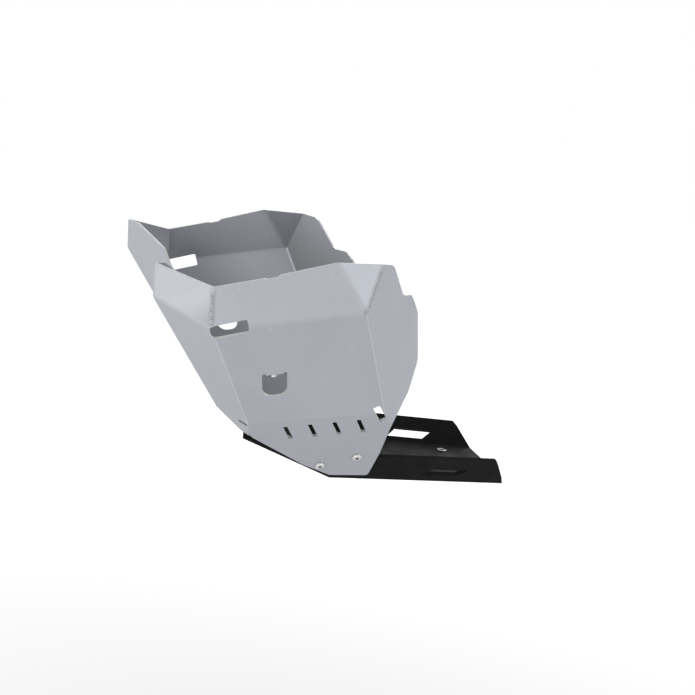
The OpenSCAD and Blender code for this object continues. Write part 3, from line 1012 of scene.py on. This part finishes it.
def button_profile():
    """Low domed head with a flange: radius and height, from its top to its seat."""
    top = -2.5
    crown = 2.7
    dome = 5.0
    flange = 6.7
    profile = [(0, top), (1.6, top + 0.02), (crown, top + 0.1)]
    for t in (0.4, 0.8, 1.2, 1.57):
        profile.append((crown + (dome - crown) * math.sin(t), -1.1 - 1.3 * math.cos(t)))
    return profile + [(flange - 0.5, -0.95), (flange, -0.6), (flange, -0.15), (flange - 0.2, 0.0)]


def cap_profile():
    """Tall cap head over a thin washer."""
    return [(0, -6.0), (4.1, -6.0), (4.7, -5.5), (4.7, -1.2), (5.8, -1.1), (6.0, -0.9), (6.0, 0.0)]


def socket_screw(at, axis, shank, turn, head):
    """Screw whose head stands out against axis from its seat; its shank runs along axis."""
    point = [(SHANK_R, shank - SHANK_POINT), (SHANK_R - SHANK_STEP, shank), (0, shank)]
    profile = head + [(SHANK_R, 0.0)] + point
    obj = new_object("head", lathe(profile, at, axis))
    obj.data.materials.append(ZINC)
    u = axis.orthogonal().normalized()
    top = at + axis * (head[0][1] + SOCKET_BELOW)
    socket = ring(top, u, axis.cross(u), SOCKET_R, [turn + k * math.pi / 3 for k in range(6)])
    cut(obj, [prism(socket, axis, SOCKET_OUT, SOCKET_DEPTH)])
    bevel(obj, HEAD_EASE, 2, 45)
    mesh = obj.data
    bpy.data.objects.remove(obj)
    return mesh


def screw_set(name, places, shank, head):
    """The left screws and their mirror images as one piece, each socket turned a little more."""
    left = [socket_screw(p, axis, shank, FIRST_TURN + NEXT_TURN * i, head)
            for i, (p, axis) in enumerate(places)]
    right = [mirrored_mesh(m, "right") for m in left]
    obj = new_object(name, joined(left + right, name))
    smooth(obj, SCREW_ROUND)
    return obj


# dressing

# angles in degrees below which neighbouring faces are shaded as one round surface
SHEET_ROUND = 32
SCREW_ROUND = 35
BEAD_ROUND = 60
# bevelled copies: points to merge in metres, flat faces to join and edges to ease in degrees
MERGE = 1e-5
FLAT = 0.6
EASE_FROM = 30


def dress(obj, mat, slot, *nodes):
    """Give a piece its look, unless it has two already, and its place in the frame."""
    if len(obj.data.materials) < 2:
        obj.data.materials.clear()
        obj.data.materials.append(mat)
    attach(obj, "root")
    if nodes:
        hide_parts(*nodes)


def both_sides(left, right_name, angle):
    """A left piece and its mirror image, both shaded round."""
    right = new_object(right_name, mirrored_mesh(left.data, right_name))
    for piece in (left, right):
        smooth(piece, angle)
    return left, right


def bevelled_copy(node, width, face, edge):
    """A node's mesh with its flat faces merged and its edges eased."""
    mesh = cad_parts[node].data.copy()
    bm = bmesh.new()
    bm.from_mesh(mesh)
    bmesh.ops.remove_doubles(bm, verts=bm.verts, dist=MERGE)
    bmesh.ops.dissolve_limit(bm, angle_limit=math.radians(FLAT), verts=bm.verts, edges=bm.edges)
    bm.to_mesh(mesh)
    bm.free()
    obj = new_object(node + "_eased", mesh)
    obj.data.materials.clear()
    two_faced(obj, face, edge)
    bevel(obj, width, 3, EASE_FROM)
    smooth(obj, SHEET_ROUND)
    return obj


# the object

guards = both_sides(make_guard(), "right_guard_sheet", SHEET_ROUND)
for guard, node_name in zip(guards, ("left_guard", "right_guard")):
    dress(guard, ALU, "aluminium_sheet", node_name)
for flap in both_sides(make_flap(), "flap_right", SHEET_ROUND):
    dress(flap, ALU, "aluminium_sheet")

# welded seams: name, the bead's two ends, and the normals of the panels that meet there
SEAMS = [("front_weld", along(seam_top, seam_low, 0.02), along(seam_top, seam_low, 0.92),
          inward(front_top, front_low, seam_top), inward(seam_top, seam_low, wing_corner)),
         ("rear_weld", along(rear_top, wing_corner, 0.03), along(rear_top, wing_corner, 1.0),
          inward(facet_top, rear_top, wing_corner), inward(rear_top, wing_corner, side_rear))]
for seam, start, end, na, nb in SEAMS:
    beads = both_sides(make_bead(seam + "_bead_left", start, end, na, nb), seam + "_bead_right", BEAD_ROUND)
    for bead, side in zip(beads, ("_left", "_right")):
        dress(bead, WELD, "weld_bead", seam + side)

BELLY_EASE = 0.9
CENTRE_EASE = 0.6
SMALL_EASE = 0.3
dress(bevelled_copy("belly_plate", BELLY_EASE, BLACK, BLACK_EDGE), BLACK, "belly_plastic", "belly_plate")
dress(bevelled_copy("centre_panel", CENTRE_EASE, ALU, EDGE), ALU, "aluminium_sheet", "centre_panel")

# shanks reach through sheet, plate, washer and nut, or through the flap and its spacer and nut
TAB_SHANK = SHEET + PLATE + 9
FLAP_SHANK = SHEET + 20
tab_places = [(p, strip_n) for p in tab_points]
tab = screw_set("tab_screws_round", tab_places, TAB_SHANK, button_profile())
dress(tab, ZINC, "zinc_steel", "tab_screws")
flap_screw = screw_set("flap_screws_round", [(flap_mid, flap_up)], FLAP_SHANK, cap_profile())
dress(flap_screw, ZINC, "zinc_steel", "flap_screws")

SMALL_NODES = [("centre_weld_left", WELD, "weld_bead"), ("centre_weld_right", WELD, "weld_bead"),
               ("tab_washers", ZINC, "zinc_steel"), ("tab_nuts", ZINC, "zinc_steel"),
               ("flap_spacers", RUBBER, "spacer_plastic"), ("flap_nuts", ZINC, "zinc_steel"),
               ("nose_screws", ZINC, "zinc_steel"), ("nose_nuts", ZINC, "zinc_steel"),
               ("mount_bushes", ZINC, "zinc_steel")]
for node_name, look, slot in SMALL_NODES:
    dress(bevelled_copy(node_name, SMALL_EASE, look, look), look, slot, node_name)


# camera

def make_camera():
    a, e, r = (math.radians(v) for v in (CAMERA_AZ, CAMERA_EL, CAMERA_ROLL))
    back = vec(math.sin(a) * math.cos(e), -math.cos(a) * math.cos(e), math.sin(e))
    right = vec(math.cos(a), math.sin(a), 0)
    up = back.cross(right)
    rolled_right = right * math.cos(r) + up * math.sin(r)
    rolled_up = -right * math.sin(r) + up * math.cos(r)
    cam = new_object("camera", bpy.data.cameras.new("camera"))
    turn = Matrix((rolled_right, rolled_up, back)).transposed().to_4x4()
    cam.matrix_world = Matrix.Translation(to_frame(CAMERA_AT)) @ turn
    cam.data.sensor_width = SENSOR
    cam.data.lens = SENSOR * FOCAL_PX / FRAME_PX
    cam.data.clip_end = CAMERA_REACH
    bpy.context.scene.camera = cam


# floor, backdrop and light, in metres and watts

# strength of the world's soft light
WORLD = 0.22
FLOOR_Z = -0.62
FLOOR_SIZE = 12
FLOOR_TONE = (0.7, 0.7, 0.71)
# the floor's own white near the object and far from it, and the two distances
FLOOR_GLOW = (0.5, 0.88)
GLOW_NEAR = 0.3
GLOW_FAR = 2.6
WHITE = (1, 1, 1)
WARM = (1, 0.985, 0.94)
# name, place, target, width and height, power, tint
LAMPS = [("key", (-2.3, -1.6, 0.8), (-0.2, -0.2, 0.15), (1.2, 1.0), 26, WARM),
         ("side", (2.0, -1.9, 0.8), (-0.1, -0.2, 0.15), (1.4, 1.0), 14, WHITE),
         ("back", (0.9, 2.3, 1.5), (-0.1, 0.1, 0.1), (1.4, 1.2), 22, WHITE)]


def seen_directly(tree):
    """1 for rays that see or mirror the background, 0 for the soft light it gives."""
    path = tree.nodes.new("ShaderNodeLightPath")
    value = path.outputs["Is Camera Ray"]
    for ray in ("Is Glossy Ray", "Is Transmission Ray"):
        value = math_node(tree, "MAXIMUM", value, path.outputs[ray])
    return value


def white_world():
    world = bpy.data.worlds.new("studio")
    bpy.context.scene.world = world
    world.use_nodes = True
    tree = world.node_tree
    back = tree.nodes["Background"]
    back.inputs["Color"].default_value = (*WHITE, 1)
    tree.links.new(ramp(tree, seen_directly(tree), 0, 1, WORLD, 1.0), back.inputs["Strength"])


def area(name, at, target, size, watts, tint):
    lamp = bpy.data.lights.new(name, "AREA")
    lamp.shape = "RECTANGLE"
    lamp.size = size[0]
    lamp.size_y = size[1]
    lamp.energy = watts
    lamp.color = tint
    obj = new_object(name, lamp)
    obj.location = at
    obj.rotation_euler = (Vector(target) - Vector(at)).to_track_quat("-Z", "Y").to_euler()


def make_floor():
    """Ground well below the plate: white, keeps the plate's shadow, and is clear from underneath."""
    bm = bmesh.new()
    bmesh.ops.create_grid(bm, x_segments=1, y_segments=1, size=FLOOR_SIZE)
    floor = new_object("floor", to_mesh(bm, "floor"))
    floor.location.z = FLOOR_Z
    mat, tree, bsdf = material("floor", FLOOR_TONE, 0.0, 0.9)
    bsdf.inputs["Specular IOR Level"].default_value = 0.0
    bsdf.inputs["Emission Color"].default_value = (*WHITE, 1)
    coord = tree.nodes.new("ShaderNodeTexCoord")
    away = tree.nodes.new("ShaderNodeVectorMath")
    away.operation = "LENGTH"
    tree.links.new(coord.outputs["Object"], away.inputs[0])
    glow = ramp(tree, away.outputs["Value"], GLOW_NEAR, GLOW_FAR, *FLOOR_GLOW)
    tree.links.new(times(tree, seen_directly(tree), glow), bsdf.inputs["Emission Strength"])
    clear = tree.nodes.new("ShaderNodeBsdfTransparent")
    side = tree.nodes.new("ShaderNodeNewGeometry")
    mix = tree.nodes.new("ShaderNodeMixShader")
    tree.links.new(side.outputs["Backfacing"], mix.inputs["Fac"])
    tree.links.new(bsdf.outputs["BSDF"], mix.inputs[1])
    tree.links.new(clear.outputs["BSDF"], mix.inputs[2])
    tree.links.new(mix.outputs["Shader"], tree.nodes["Material Output"].inputs["Surface"])
    floor.data.materials.append(mat)


make_camera()
white_world()
make_floor()
for lamp_row in LAMPS:
    area(*lamp_row)

bpy.context.scene.view_settings.view_transform = "Standard"
